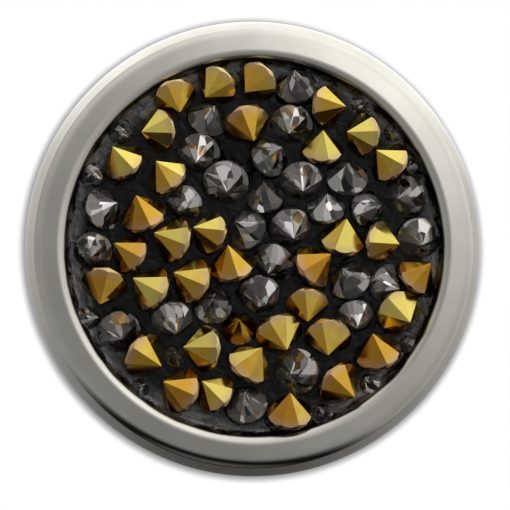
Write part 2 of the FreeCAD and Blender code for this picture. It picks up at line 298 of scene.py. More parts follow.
def castEpoxy():
    # black pigmented epoxy, poured by hand: near black between the stones, with slow ripples where
    # it crept up them, a skin of dust, drawn coarser than real dust so that it shows, and a wet
    # gleam where it climbs the rim, with grey streaks there in patches, painted glints: a painted
    # reflection of the light its wrinkled surface catches by the rim
    look = {"tint": [(0.35, "#070606"), (0.75, "#151211")], "thinned": "#6f6a60",
            "rippleMm": 1.1, "ripple": 0.7, "skinMm": 0.16, "skin": 0.25, "rough": (0.12, 0.3),
            "rimMm": (11.9, 13.4), "gleam": (0.18, 1.1), "streakMm": 0.3, "windMm": 3.0,
            "patchMm": 3.4, "wiped": (0.24, 0.36), "wipedMm": (11.6, 12.6)}
    material, tree, shader, place = newMaterial("black cast epoxy", IOR=1.5)
    radius, along = turnedPlace(tree, place, look["windMm"])[1:]
    gleam = addNode(tree, "ShaderNodeMapRange",
                    {"Value": radius, "From Min": look["rimMm"][0] * mm, "From Max": look["rimMm"][1] * mm,
                     "To Min": look["gleam"][0], "To Max": look["gleam"][1]},
                    interpolation_type="SMOOTHSTEP")
    ripple = addNode(tree, "ShaderNodeTexNoise",
                     {"Vector": place, "Scale": patternScale(look["rippleMm"]), "Detail": 2.0,
                      "Distortion": 0.8})
    skin = addNode(tree, "ShaderNodeTexNoise", {"Vector": place, "Scale": patternScale(look["skinMm"])})
    rough = addNode(tree, "ShaderNodeMapRange",
                    {"Value": ripple.outputs[0], "From Min": 0.35, "From Max": 0.65,
                     "To Min": look["rough"][0], "To Max": look["rough"][1]})
    tint = addNode(tree, "ShaderNodeValToRGB", {0: skin.outputs[0]}, look["tint"])
    # painted glints: grey streaks in patches toward the rim stand in for light caught by the wrinkled
    # surface
    lanes = addNode(tree, "ShaderNodeCombineXYZ", {0: radius, 1: along})
    streak = addNode(tree, "ShaderNodeTexNoise",
                     {"Vector": lanes.outputs[0], "Scale": patternScale(look["streakMm"]), "Detail": 3.0})
    patch = addNode(tree, "ShaderNodeTexNoise", {"Vector": place, "Scale": patternScale(look["patchMm"])})
    both = addNode(tree, "ShaderNodeMath", {0: streak.outputs[0], 1: patch.outputs[0]},
                   operation="MULTIPLY")
    glintStreaks = addNode(tree, "ShaderNodeMapRange",
                   {"Value": both.outputs[0], "From Min": look["wiped"][0], "From Max": look["wiped"][1]})
    climb = addNode(tree, "ShaderNodeMapRange",
                    {"Value": radius, "From Min": look["wipedMm"][0] * mm,
                     "From Max": look["wipedMm"][1] * mm}, interpolation_type="SMOOTHSTEP")
    grey = addNode(tree, "ShaderNodeMath", {0: glintStreaks.outputs[0], 1: climb.outputs[0]}, operation="MULTIPLY")
    body = addNode(tree, "ShaderNodeMix",
                   {0: grey.outputs[0], 6: tint.outputs[0], 7: toLinear(look["thinned"])}, data_type="RGBA")
    swell = addNode(tree, "ShaderNodeBump",
                    {"Height": ripple.outputs[0], "Strength": look["ripple"], "Distance": 0.25 * mm})
    bump = addNode(tree, "ShaderNodeBump", {"Height": skin.outputs[0], "Strength": look["skin"],
                                            "Distance": 0.02 * mm, "Normal": swell.outputs[0]})
    linkSurface(tree, shader, Base_Color=body.outputs[2], Roughness=rough.outputs[0],
                Specular_IOR_Level=gleam.outputs[0], Normal=bump.outputs[0])
    return material


def gildedCrystal():
    # cut glass with a vapour-deposited gold coat over its pavilion: facets turned to the upper
    # right, toward the softbox, are painted lemon as painted light, the others brown gold as painted
    # shade, and the coat thins to a rosy grey at the girdle
    look = {"gold": [(0.1, "#a1691b"), (0.45, "#c08a2a"), (0.75, "#c59d39"), (1.0, "#d8c463")],
            "thinned": "#b69a86", "thinning": 0.55, "lemonSide": (0.55, -0.25, 0.8), "sideShare": 0.42,
            "cloudMm": 0.9, "cloudShare": 0.35, "speckMm": 0.05, "rough": (0.13, 0.27), "bump": 0.05}
    material, tree, shader, place = newMaterial("gold-coated crystal", Metallic=1.0, Coat_Weight=0.2,
                                                Coat_Roughness=0.03)
    facet = addNode(tree, "ShaderNodeAttribute", attribute_name="facetTone")
    rise = addNode(tree, "ShaderNodeAttribute", attribute_name="rise")
    cloud = addNode(tree, "ShaderNodeTexNoise", {"Vector": place, "Scale": patternScale(look["cloudMm"])})
    speck = addNode(tree, "ShaderNodeTexNoise",
                    {"Vector": place, "Scale": patternScale(look["speckMm"]), "Detail": 2.0})
    tone = addNode(tree, "ShaderNodeMath",
                   {0: cloud.outputs[0], 1: look["cloudShare"], 2: facet.outputs["Fac"]},
                   operation="MULTIPLY_ADD")
    # painted light and shade: facets turned toward the softbox at the upper right go up the ramp to lemon,
    # the rest down to brown
    face = addNode(tree, "ShaderNodeNewGeometry").outputs["True Normal"]
    paintedLightFacing = addNode(tree, "ShaderNodeVectorMath", {0: face, 1: look["lemonSide"]}, operation="DOT_PRODUCT")
    turned = addNode(tree, "ShaderNodeMath",
                     {0: paintedLightFacing.outputs["Value"], 1: look["sideShare"], 2: tone.outputs[0]},
                     operation="MULTIPLY_ADD")
    gold = addNode(tree, "ShaderNodeValToRGB", {0: turned.outputs[0]}, look["gold"])
    girdle = addNode(tree, "ShaderNodeMapRange",
                     {"Value": rise.outputs["Fac"], "From Min": 0.72, "From Max": 1.02},
                     interpolation_type="SMOOTHSTEP")
    fade = addNode(tree, "ShaderNodeMath", {0: girdle.outputs[0], 1: look["thinning"]},
                   operation="MULTIPLY")
    tint = addNode(tree, "ShaderNodeMix",
                   {0: fade.outputs[0], 6: gold.outputs[0], 7: toLinear(look["thinned"])}, data_type="RGBA")
    rough = addNode(tree, "ShaderNodeMapRange",
                    {"Value": speck.outputs[0], "From Min": 0.4, "From Max": 0.75,
                     "To Min": look["rough"][0], "To Max": look["rough"][1]})
    bump = addNode(tree, "ShaderNodeBump",
                   {"Height": speck.outputs[0], "Strength": look["bump"], "Distance": 0.01 * mm})
    linkSurface(tree, shader, Base_Color=tint.outputs[2], Roughness=rough.outputs[0],
                Normal=bump.outputs[0])
    return material


def smokyCrystal():
    # clear cut glass, smoke grey in the melt: dark where light leaves it through the resin, with
    # angular shards, fanned about the tip, where the crown behind turns the light back out
    look = {"tint": [(0.0, "#46433f"), (0.45, "#6c6864"), (0.75, "#a6a29e"), (1.0, "#e8e5e1")],
            "fan": 1.35, "depth": 2.3, "skew": 1.2, "tilt": 0.8, "facetShare": 0.3, "clear": 0.5,
            "through": 0.5}
    material, tree, shader = newMaterial("smoke-grey crystal", IOR=1.58, Roughness=0.06,
                                         Transmission_Weight=look["through"])[:3]
    facet = addNode(tree, "ShaderNodeAttribute", attribute_name="facetTone")
    plan = addNode(tree, "ShaderNodeAttribute", attribute_name="plan")
    axes = addNode(tree, "ShaderNodeSeparateXYZ", {0: plan.outputs["Vector"]})
    turn = addNode(tree, "ShaderNodeMath", {0: axes.outputs[1], 1: axes.outputs[0]}, operation="ARCTAN2")
    flat = addNode(tree, "ShaderNodeCombineXYZ", {0: axes.outputs[0], 1: axes.outputs[1]})
    reach = addNode(tree, "ShaderNodeVectorMath", {0: flat.outputs[0]}, operation="LENGTH")
    even = addNode(tree, "ShaderNodeMath", {0: turn.outputs[0], 1: look["fan"]}, operation="MULTIPLY")
    spread = addNode(tree, "ShaderNodeMath",
                     {0: reach.outputs["Value"], 1: look["skew"], 2: even.outputs[0]},
                     operation="MULTIPLY_ADD")
    inward = addNode(tree, "ShaderNodeMath", {0: reach.outputs["Value"], 1: look["depth"]},
                     operation="MULTIPLY")
    fan = addNode(tree, "ShaderNodeCombineXYZ",
                  {0: spread.outputs[0], 1: inward.outputs[0], 2: axes.outputs[2]})
    shard = addNode(tree, "ShaderNodeTexVoronoi", {"Vector": fan.outputs[0], "Scale": 1.0})
    lot = addNode(tree, "ShaderNodeSeparateColor", {0: shard.outputs["Color"]})
    lean = addNode(tree, "ShaderNodeVectorMath", {0: shard.outputs["Color"], 1: (0.5, 0.5, 0.5)},
                   operation="SUBTRACT")
    push = addNode(tree, "ShaderNodeVectorMath", {0: lean.outputs[0], "Scale": look["tilt"]},
                   operation="SCALE")
    face = addNode(tree, "ShaderNodeNewGeometry").outputs["True Normal"]
    tipped = addNode(tree, "ShaderNodeVectorMath", {0: face, 1: push.outputs[0]}, operation="ADD")
    normal = addNode(tree, "ShaderNodeVectorMath", {0: tipped.outputs[0]}, operation="NORMALIZE")
    tone = addNode(tree, "ShaderNodeMath",
                   {0: facet.outputs["Fac"], 1: look["facetShare"], 2: lot.outputs[1]},
                   operation="MULTIPLY_ADD")
    tint = addNode(tree, "ShaderNodeValToRGB", {0: tone.outputs[0]}, look["tint"])
    glow = addNode(tree, "ShaderNodeMapRange",
                   {"Value": lot.outputs[0], "To Min": 1 - look["clear"], "To Max": 1.0})
    linkSurface(tree, shader, Base_Color=tint.outputs[0], Metallic=glow.outputs[0],
                Normal=normal.outputs[0])
    return material


def platedPart(name, look):
    # small stamped or turned hardware, barrel-plated: satin, with soft dents
    dents = {"pitMm": 0.22, "pitShare": 0.3, "bump": 0.10, "depthMm": 0.02}
    material, tree, shader, place = newMaterial(name, Metallic=1.0)
    tumble = addNode(tree, "ShaderNodeTexNoise",
                     {"Vector": place, "Scale": patternScale(look["tumbleMm"]), "Detail": 5.0,
                      "Roughness": 0.62})
    pits = addNode(tree, "ShaderNodeTexVoronoi", {"Vector": place, "Scale": patternScale(dents["pitMm"])})
    tint = addNode(tree, "ShaderNodeValToRGB", {0: tumble.outputs[0]},
                   [(0.35, look["low"]), (0.68, look["high"])])
    rough = addNode(tree, "ShaderNodeMapRange",
                    {"Value": tumble.outputs[0], "From Min": 0.3, "From Max": 0.7,
                     "To Min": look["rough"][1], "To Max": look["rough"][0]})
    relief = addNode(tree, "ShaderNodeMath",
                     {0: pits.outputs[0], 1: dents["pitShare"], 2: tumble.outputs[0]},
                     operation="MULTIPLY_ADD")
    bump = addNode(tree, "ShaderNodeBump", {"Height": relief.outputs[0], "Strength": dents["bump"],
                                            "Distance": dents["depthMm"] * mm})
    linkSurface(tree, shader, Base_Color=tint.outputs[0], Roughness=rough.outputs[0],
                Normal=bump.outputs[0])
    return material


def dullLayer(name, look):
    # the matt layers closed up inside the badge
    material, tree, shader, place = newMaterial(name)
    grain = addNode(tree, "ShaderNodeTexNoise",
                    {"Vector": place, "Scale": patternScale(look["grainMm"]), "Detail": 4.0})
    tint = addNode(tree, "ShaderNodeValToRGB", {0: grain.outputs[0]},
                   [(0.3, look["low"]), (0.7, look["high"])])
    rough = addNode(tree, "ShaderNodeMapRange", {"Value": grain.outputs[0], "To Min": 0.5, "To Max": 0.8})
    bump = addNode(tree, "ShaderNodeBump",
                   {"Height": grain.outputs[0], "Strength": 0.2, "Distance": 0.03 * mm})
    linkSurface(tree, shader, Base_Color=tint.outputs[0], Roughness=rough.outputs[0],
                Normal=bump.outputs[0])
    return material


steelMirror = polishedSteel()
steelSheet = brushedSheet()
blackEpoxy = castEpoxy()
goldCoat = gildedCrystal()
smokeGlass = smokyCrystal()
nickelBrass = platedPart("nickel-plated brass", {
    "low": "#b9b6ae", "high": "#d4d1c9", "rough": (0.14, 0.30), "tumbleMm": 1.6})
springSteel = platedPart("tempered spring steel", {
    "low": "#a9aaac", "high": "#c6c7c8", "rough": (0.20, 0.36), "tumbleMm": 1.2})
postSteel = platedPart("drawn steel wire", {
    "low": "#b0afad", "high": "#cfcecb", "rough": (0.16, 0.32), "tumbleMm": 0.8})
glueFilm = dullLayer("clear acrylic adhesive", {"low": "#9a968c", "high": "#b3afa5", "grainMm": 0.3})
fibreBoard = dullLayer("black fibre board", {"low": "#171615", "high": "#262423", "grainMm": 0.12})
print("materials made")


# a bend is its radius in mm and the tilts of the surface, in degrees, that it leads from and to
bezel = {"outer": 16.5, "opening": 13.6, "bore": 14.25, "lip": 2.6, "crest": 3.65,
         "rearRim": 15.6, "rearVia": (16.25, -0.25), "rearTop": 0.9,
         "sideBend": (2.25, 90, 45), "shoulderBend": (1.5, 45, 12), "crestBend": (0.68, 12, -9),
         "rollBend": (0.74, -9, -52), "segments": 288, "arcCount": 8}


def bendPoints(start, bend, count):
    # points (radius, height) on an arc that turns the surface from one tilt to another
    radius, tiltIn, tiltOut = bend
    tilts = [math.radians(tiltIn + (tiltOut - tiltIn) * k / count) for k in range(count + 1)]
    centre = (start[0] - radius * math.sin(tilts[0]), start[1] - radius * math.cos(tilts[0]))
    return [(centre[0] + radius * math.sin(t), centre[1] + radius * math.cos(t)) for t in tilts[1:]]


def bezelFront():
    # from the side wall in to the opening: rounded side, shallow cone, rolled edge
    steps = bezel["arcCount"]
    outer = bendPoints((bezel["outer"], 0.0), bezel["sideBend"], 2 * steps)
    outer += bendPoints(outer[-1], bezel["shoulderBend"], steps)
    slope = math.tan(math.radians(bezel["crestBend"][1]))
    inner = bendPoints((0.0, 0.0), bezel["crestBend"], steps)
    inner += bendPoints(inner[-1], bezel["rollBend"], 2 * steps)
    cone = outer[-1][0] - bezel["opening"] + inner[-1][0]
    top = max(height for radius, height in inner)
    crest = (outer[-1][0] - cone, outer[-1][1] + cone * slope)
    front = [(bezel["outer"], 0.0)] + outer + [crest]
    front += [(crest[0] + radius, crest[1] + height) for radius, height in inner]
    lift = bezel["crest"] - crest[1] - top
    return [(radius, -height - lift) for radius, height in front]


rearEdge = (bezel["rearVia"], (bezel["outer"], -bezel["rearTop"]))
bezelOutline = outlinePoints([(bezel["bore"], 0.0), (bezel["rearRim"], 0.0), rearEdge])
bezelOutline += bezelFront() + [(bezel["opening"], -bezel["lip"]), (bezel["bore"], -bezel["lip"])]
newPiece("bezel", turnedMesh("bezel", bezelOutline, bezel["segments"]), steelMirror,
         "badge", "bezel_ring")

backing = {"radius": 14.2, "front": -0.75, "rear": -0.15, "edge": 0.08, "segments": 192}
plateOutline = outlinePoints([
    (0, backing["rear"]), (backing["radius"] - backing["edge"], backing["rear"]),
    (backing["radius"], backing["rear"] - backing["edge"]),
    (backing["radius"], backing["front"]), (0, backing["front"]),
])
newPiece("backPlate", turnedMesh("backPlate", plateOutline, backing["segments"]), steelSheet,
         "badge", "back_plate")

for node, finish in (("adhesive_film", glueFilm), ("carrier_disc", fibreBoard)):
    coatMesh(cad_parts[node].data, finish)

resin = {"flatAngle": 0, "sharpAngle": 14}
resinMesh = weldedMesh("resinBed", "resin_bed", resin["flatAngle"])
shadeMesh(resinMesh, resin["sharpAngle"])
newPiece("resinBed", resinMesh, blackEpoxy, "badge", "resin_bed")
print("bezel and backing made")


stones = {"shrink": 0.994, "flatAngle": 0.4, "sharpAngle": 12, "seed": 7,
          "edgeMm": 0.018, "edgeSteps": 1, "edgeFrom": 24,
          "smallestFacetMm2": 0.06, "smallFacet": 0.4, "facetShare": 0.55, "spread": 0.6,
          "planSide": (0.3, 0.2, 0.93), "planStep": 3.7}


def stoneTree():
    # draws every stone in a little from its pocket and gives each one and each facet its own tone
    tree, ports, given = openGroup("stone dressing", [
        ("Shrink", "Float"), ("Smallest facet", "Float"), ("Seed", "Int"), ("Coat", "Material")])
    drawn = addNode(tree, "GeometryNodeScaleElements",
                    {"Geometry": given["Geometry"], "Scale": given["Shrink"]})
    island = addNode(tree, "GeometryNodeInputMeshIsland")
    perStone = addNode(tree, "FunctionNodeRandomValue",
                       {"ID": island.outputs["Island Index"], "Seed": given["Seed"]}, data_type="FLOAT")
    perFacet = addNode(tree, "FunctionNodeRandomValue", {"Seed": given["Seed"]}, data_type="FLOAT")
    area = addNode(tree, "GeometryNodeInputMeshFaceArea")
    broad = addNode(tree, "FunctionNodeCompare",
                    {"A": area.outputs[0], "B": given["Smallest facet"]}, operation="GREATER_THAN")
    facet = addNode(tree, "GeometryNodeSwitch",
                    {"Switch": broad.outputs[0], "False": stones["smallFacet"],
                     "True": perFacet.outputs[1]}, input_type="FLOAT")
    both = addNode(tree, "ShaderNodeMath",
                   {0: facet.outputs[0], 1: stones["facetShare"], 2: perStone.outputs[1]},
                   operation="MULTIPLY_ADD")
    tone = addNode(tree, "ShaderNodeMath", {0: both.outputs[0], 1: stones["spread"]}, operation="MULTIPLY")
    stored = addNode(tree, "GeometryNodeStoreNamedAttribute",
                     {"Geometry": drawn.outputs[0], "Name": "facetTone", "Value": tone.outputs[0]},
                     data_type="FLOAT", domain="FACE")
    closeGroup(tree, stored.outputs[0], given["Coat"])
    return tree, ports


def looseParts(verts):
    # the corners of each separate stone, one list a stone, in the order of their first corners
    left = set(verts)
    for start in verts:
        if start not in left:
            continue
        left.discard(start)
        island, front = [], [start]
        while front:
            vert = front.pop()
            island.append(vert)
            for edge in vert.link_edges:
                other = edge.other_vert(vert)
                if other in left:
                    left.discard(other)
                    front.append(other)
        yield island


def markRise(mesh):
    # rise: how far each corner stands from its stone's tip, 0 to 1 at the girdle; plan: its place
    # across the stone's axis in girdle radii, with a third number that differs from stone to stone
    made = bmesh.new()
    made.from_mesh(mesh)
    rise = made.verts.layers.float.new("rise")
    plan = made.verts.layers.float_vector.new("plan")
    for count, island in enumerate(looseParts(made.verts), 1):
        tip = max(island, key=lambda v: len(v.link_faces))
        reach = max((v.co - tip.co).length for v in island)
        slant = [v for v in island if v is not tip and any(tip in f.verts for f in v.link_faces)]
        girdle = max((v.co - tip.co).length for v in slant) if slant else reach
        axis = (sum((v.co for v in slant), Vector()) / max(1, len(slant)) - tip.co).normalized()
        across = axis.cross(Vector(stones["planSide"])).normalized()
        over = axis.cross(across)
        radius = max((v.co - tip.co - axis * axis.dot(v.co - tip.co)).length for v in island)
        for vert in island:
            away = vert.co - tip.co
            vert[rise] = min(1.0, away.length / girdle)
            vert[plan] = Vector((away.dot(across) / radius, away.dot(over) / radius,
                                 stones["planStep"] * count))
    made.to_mesh(mesh)
    made.free()


stoneDressing = stoneTree()


def dressStones(node, coat, seed):
    name = node.replace("_stones_", "_").title().replace("_", "") + "Stones"
    name = name[0].lower() + name[1:]
    mesh = weldedMesh(name, node, stones["flatAngle"])
    markRise(mesh)
    piece = newObject(name, mesh)
    runGroup(piece, stoneDressing, {
        "Shrink": stones["shrink"], "Smallest facet": stones["smallestFacetMm2"] * mm * mm,
        "Seed": seed, "Coat": coat})
    roundEdges(piece, stones)
    settle(piece)
    shadeMesh(piece.data, stones["sharpAngle"])
    claim(piece, "badge", node)


for k, node in enumerate(sorted(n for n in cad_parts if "_stones_" in n)):
    gold = node.startswith("gold")
    dressStones(node, goldCoat if gold else smokeGlass,
                stones["seed"] + k)
print("stones dressed")


# a round is its size in mm and how far its middle stands in from the corner it takes off
post = {"x": 7.5, "wireR": 0.55, "padR": 2.5, "padRear": -0.15, "padTop": 0.25,
        "padRound": (0.12, 0.035), "solderR": 0.9, "solderVia": (0.65, 0.35), "solderTop": 0.6,
        "grooveR": 0.47, "grooveY": 4.3, "grooveHalf": 0.15,
        "taperY": 5.1, "pointR": 0.14, "pointY": 6.1, "pointVia": (0.1, 6.17), "tipY": 6.2,
        "arcCount": 6, "segments": 64}
clutch = {"y": 1.5, "shellR": 5.7, "wall": 0.3, "depth": 1.6, "holeR": 0.7, "holeEdge": 0.06,
          "rimRound": (0.4, 0.117), "foldR": 4.3, "foldRound": 0.15, "inRound": (0.15, 0.044),
          "floorRound": (0.2, 0.059), "floorEdge": 0.25, "floorSteps": 34, "arcCount": 6,
          "segments": 96, "sharpAngle": 34,
          "bumps": 3, "bumpRing": 3.4, "bumpReach": 0.75, "bumpDepth": 0.35, "bumpBelow": 0.32}
leaf = {"flatAngle": 0.4, "sharpAngle": 35, "edgeMm": 0.05, "edgeSteps": 2, "edgeFrom": 40}


def postOutline():
    # solder pad, fillet, wire with the groove that the leaves grip, and the ground point
    pad, wire, top = post["padR"], post["wireR"], post["padTop"]
    edge, inset = post["padRound"]
    return outlinePoints([
        (0, post["padRear"]), (pad, post["padRear"]), (pad, top - edge),
        ((pad - inset, top - inset), (pad - edge, top)),
        (post["solderR"], top), (post["solderVia"], (wire, post["solderTop"])),
        (wire, post["grooveY"] - post["grooveHalf"]),
        ((post["grooveR"], post["grooveY"]), (wire, post["grooveY"] + post["grooveHalf"])),
        (wire, post["taperY"]), (post["pointR"], post["pointY"]), (post["pointVia"], (0, post["tipY"])),
    ], post["arcCount"])


def shellOutline():
    # out along the front of the floor, up the wall, over the folded rim, and back down inside
    outer, depth, wall, foldR = clutch["shellR"], clutch["depth"], clutch["wall"], clutch["foldR"]
    inner, fold = outer - wall, depth - wall
    rim, rimIn = clutch["rimRound"]
    turn, turnIn = clutch["inRound"]
    foot, footIn = clutch["floorRound"]
    lip, steps = clutch["foldRound"], clutch["floorSteps"]
    first, last = clutch["holeR"] + clutch["holeEdge"], outer - rim
    floorRadii = [first + (last - first) * k / steps for k in range(steps + 1)]
    around = outlinePoints([
        (last, 0.0), ((outer - rimIn, rimIn), (outer, rim)),
        (outer, depth - rim), ((outer - rimIn, depth - rimIn), (outer - rim, depth)),
        (foldR + lip, depth), ((foldR, depth - lip), (foldR + lip, fold)),
        (inner - turn, fold), ((inner - turnIn, fold - turnIn), (inner, fold - turn)),
        (inner, wall + foot), ((inner - footIn, wall + footIn), (inner - foot, wall)),
    ], clutch["arcCount"])[1:]
    outside = [(radius, 0.0) for radius in floorRadii]
    inside = [(radius, wall) for radius in reversed(floorRadii) if radius < inner - clutch["floorEdge"]]
    hole = [(clutch["holeR"], wall - clutch["holeEdge"]), (clutch["holeR"], clutch["holeEdge"])]
    return [(radius, y + clutch["y"]) for radius, y in outside + around + inside + hole]


def bumpTree():
    # presses a ring of evenly spaced round bumps through the floor of the cup
    tree, ports, given = openGroup("pressed bumps", [
        ("Count", "Float"), ("Ring", "Float"), ("Reach", "Float"), ("Depth", "Float"),
        ("Centre", "Vector"), ("Below", "Float"), ("Plating", "Material")])
    spot = addNode(tree, "GeometryNodeInputPosition")
    local = addNode(tree, "ShaderNodeVectorMath", {0: spot.outputs[0], 1: given["Centre"]},
                    operation="SUBTRACT")
    axes = addNode(tree, "ShaderNodeSeparateXYZ", {0: local.outputs[0]})
    turn = addNode(tree, "ShaderNodeMath", {0: axes.outputs[0], 1: axes.outputs[2]}, operation="ARCTAN2")
    step = addNode(tree, "ShaderNodeMath", {0: 2 * math.pi, 1: given["Count"]}, operation="DIVIDE")
    shifted = addNode(tree, "ShaderNodeMath", {0: step.outputs[0], 1: 0.5, 2: turn.outputs[0]},
                      operation="MULTIPLY_ADD")
    nearest = addNode(tree, "ShaderNodeMath", {0: shifted.outputs[0], 1: step.outputs[0]}, operation="SNAP")
    sine = addNode(tree, "ShaderNodeMath", {0: nearest.outputs[0]}, operation="SINE")
    cosine = addNode(tree, "ShaderNodeMath", {0: nearest.outputs[0]}, operation="COSINE")
    spoke = addNode(tree, "ShaderNodeCombineXYZ", {0: sine.outputs[0], 2: cosine.outputs[0]})
    middle = addNode(tree, "ShaderNodeVectorMath", {0: spoke.outputs[0], "Scale": given["Ring"]},
                     operation="SCALE")
    flat = addNode(tree, "ShaderNodeCombineXYZ", {0: axes.outputs[0], 2: axes.outputs[2]})
    away = addNode(tree, "ShaderNodeVectorMath", {0: flat.outputs[0], 1: middle.outputs[0]},
                   operation="DISTANCE")
    dome = addNode(tree, "ShaderNodeMapRange",
                   {"Value": away.outputs["Value"], "From Min": given["Reach"], "From Max": 0.0,
                    "To Min": 0.0, "To Max": given["Depth"]}, interpolation_type="SMOOTHSTEP")
    floorOnly = addNode(tree, "FunctionNodeCompare", {"A": axes.outputs[1], "B": given["Below"]},
                        operation="LESS_THAN")
    drop = addNode(tree, "ShaderNodeMath", {0: dome.outputs[0], 1: -1.0}, operation="MULTIPLY")
    offset = addNode(tree, "ShaderNodeCombineXYZ", {1: drop.outputs[0]})
    pressed = addNode(tree, "GeometryNodeSetPosition",
                      {"Geometry": given["Geometry"], "Selection": floorOnly.outputs[0],
                       "Offset": offset.outputs[0]})
    closeGroup(tree, pressed.outputs[0], given["Plating"])
    return tree, ports


bumpPress = bumpTree()


def clutchShell(label, x):
    name = "clutchShell" + label.title()
    cup = turnedMesh(name, shellOutline(), clutch["segments"], x, clutch["sharpAngle"])
    piece = newObject(name, cup)
    runGroup(piece, bumpPress, {
        "Count": float(clutch["bumps"]), "Ring": clutch["bumpRing"] * mm,
        "Reach": clutch["bumpReach"] * mm, "Depth": clutch["bumpDepth"] * mm,
        "Centre": (x * mm, clutch["y"] * mm, 0.0), "Below": clutch["bumpBelow"] * mm,
        "Plating": nickelBrass})
    settle(piece)
    claim(piece, "clutch_" + label, "clutch_shell_" + label)


def clutchLeaf(label, level):
    node = "clutch_leaf_%s_%s" % (label, level)
    name = "leaf" + label.title() + level.title()
    piece = newObject(name, weldedMesh(name, node, leaf["flatAngle"]))
    coatMesh(piece.data, springSteel)
    roundEdges(piece, leaf)
    settle(piece)
    shadeMesh(piece.data, leaf["sharpAngle"])
    claim(piece, "leaf_%s_%s" % (label, level), node)


for label, side in (("left", -1), ("right", 1)):
    x = side * post["x"]
    name = "tackPost" + label.title()
    newPiece(name, turnedMesh(name, postOutline(), post["segments"], x), postSteel,
             "badge", "tack_post_" + label)
    clutchShell(label, x)
    clutchLeaf(label, "upper")
    clutchLeaf(label, "lower")
print("posts and clutches made")


stage = {"wallY": 0.05, "reach": 400.0, "lit": "#efefef", "haloMm": 0.9, "haloLean": (0.05, -1.0, 0.45),
         "halo": [(0.31, "#757575"), (0.54, "#8c8c8c"), (0.7, "#b7b7b7"), (0.81, "#d9d9d9"),
                  (0.9, "#f2f2f2"), (0.97, "#ffffff")],
         "litFrom": (0.09, 0.0, 1.0), "mirrored": 1.45,
         "litTones": [(0.0, "#4a4a4a"), (0.15, "#808080"), (0.45, "#adadad"), (0.67, "#c4c4c4"),
                      (0.87, "#ffffff")],
         "gapMm": (40, 60), "gapSide": (-0.5, -0.9), "gapTone": "#1c1c1c", "holeMm": 16.2}


def paleStage(name):
    # matt white card, white to the eye except for a soft shadow below the badge; the badge's side
    # mirrors it with painted shade, as if lit from above, darker toward the bottom, with a painted
    # shadow far out there; seen from its back it is not there, and a hole under the badge keeps it
    # out of what the back mirrors
    material = bpy.data.materials.new(name)
    material.use_nodes = True
    tree = material.node_tree
    tree.nodes.clear()
    near = addNode(tree, "ShaderNodeAmbientOcclusion",
                   {"Distance": stage["haloMm"] * mm, "Normal": Vector(stage["haloLean"]).normalized()},
                   samples=16)
    halo = addNode(tree, "ShaderNodeValToRGB", {0: near.outputs["AO"]}, stage["halo"])
    # painted shade, seen only in what the badge mirrors: the card darker toward the bottom by where it lies
    # round the badge, not by the lamps
    spot = addNode(tree, "ShaderNodeNewGeometry")
    outward = addNode(tree, "ShaderNodeVectorMath", {0: spot.outputs["Position"]}, operation="NORMALIZE")
    side = addNode(tree, "ShaderNodeVectorMath", {0: outward.outputs[0], 1: stage["litFrom"]},
                   operation="DOT_PRODUCT")
    even = addNode(tree, "ShaderNodeMapRange", {"Value": side.outputs["Value"], "From Min": -1.0})
    shadow = addNode(tree, "ShaderNodeValToRGB", {0: even.outputs[0]}, stage["litTones"])
    away = addNode(tree, "ShaderNodeVectorMath", {0: spot.outputs["Position"]}, operation="LENGTH")
    # painted shadow: far out below the badge the mirrored card turns dark
    far = addNode(tree, "ShaderNodeMapRange",
                  {"Value": away.outputs["Value"], "From Min": stage["gapMm"][0] * mm,
                   "From Max": stage["gapMm"][1] * mm})
    lower = addNode(tree, "ShaderNodeMapRange",
                    {"Value": side.outputs["Value"], "From Min": stage["gapSide"][0],
                     "From Max": stage["gapSide"][1]})
    paintedShadow = addNode(tree, "ShaderNodeMath", {0: far.outputs[0], 1: lower.outputs[0]}, operation="MULTIPLY")
    mirrored = addNode(tree, "ShaderNodeMix",
                       {0: paintedShadow.outputs[0], 6: shadow.outputs[0], 7: toLinear(stage["gapTone"])},
                       data_type="RGBA")
    path = addNode(tree, "ShaderNodeLightPath").outputs
    shade = addNode(tree, "ShaderNodeMix",
                    {0: path["Is Camera Ray"], 6: mirrored.outputs[2], 7: halo.outputs[0]},
                    data_type="RGBA")
    power = addNode(tree, "ShaderNodeMix", {0: path["Is Camera Ray"], 2: stage["mirrored"], 3: 1.0})
    seen = addNode(tree, "ShaderNodeEmission", {"Color": shade.outputs[2], "Strength": power.outputs[0]})
    lit = addNode(tree, "ShaderNodeBsdfDiffuse", {"Color": toLinear(stage["lit"])})
    glossy = addNode(tree, "ShaderNodeMath", {0: path["Is Camera Ray"], 1: path["Is Glossy Ray"]},
                     operation="MAXIMUM")
    direct = addNode(tree, "ShaderNodeMath", {0: glossy.outputs[0], 1: path["Is Transmission Ray"]},
                     operation="MAXIMUM")
    card = addNode(tree, "ShaderNodeMixShader",
                   {0: direct.outputs[0], 1: lit.outputs[0], 2: seen.outputs[0]})
    under = addNode(tree, "ShaderNodeMath", {0: away.outputs["Value"], 1: stage["holeMm"] * mm},
                    operation="LESS_THAN")
    absent = addNode(tree, "ShaderNodeMath", {0: spot.outputs["Backfacing"], 1: under.outputs[0]},
                     operation="MAXIMUM")
    gone = addNode(tree, "ShaderNodeBsdfTransparent")
    whole = addNode(tree, "ShaderNodeMixShader",
                    {0: absent.outputs[0], 1: card.outputs[0], 2: gone.outputs[0]})
    addNode(tree, "ShaderNodeOutputMaterial", {"Surface": whole.outputs[0]})
    return material


def stageCard(name, material):
    reach, y = stage["reach"] * mm, stage["wallY"] * mm
    mesh = bpy.data.meshes.new(name)
    mesh.from_pydata([(-reach, y, -reach), (reach, y, -reach), (reach, y, reach), (-reach, y, reach)],
                     [], [(0, 1, 2, 3)])
    coatMesh(mesh, material)
    newObject(name, mesh)


stageCard("backdrop", paleStage("matt white card"))


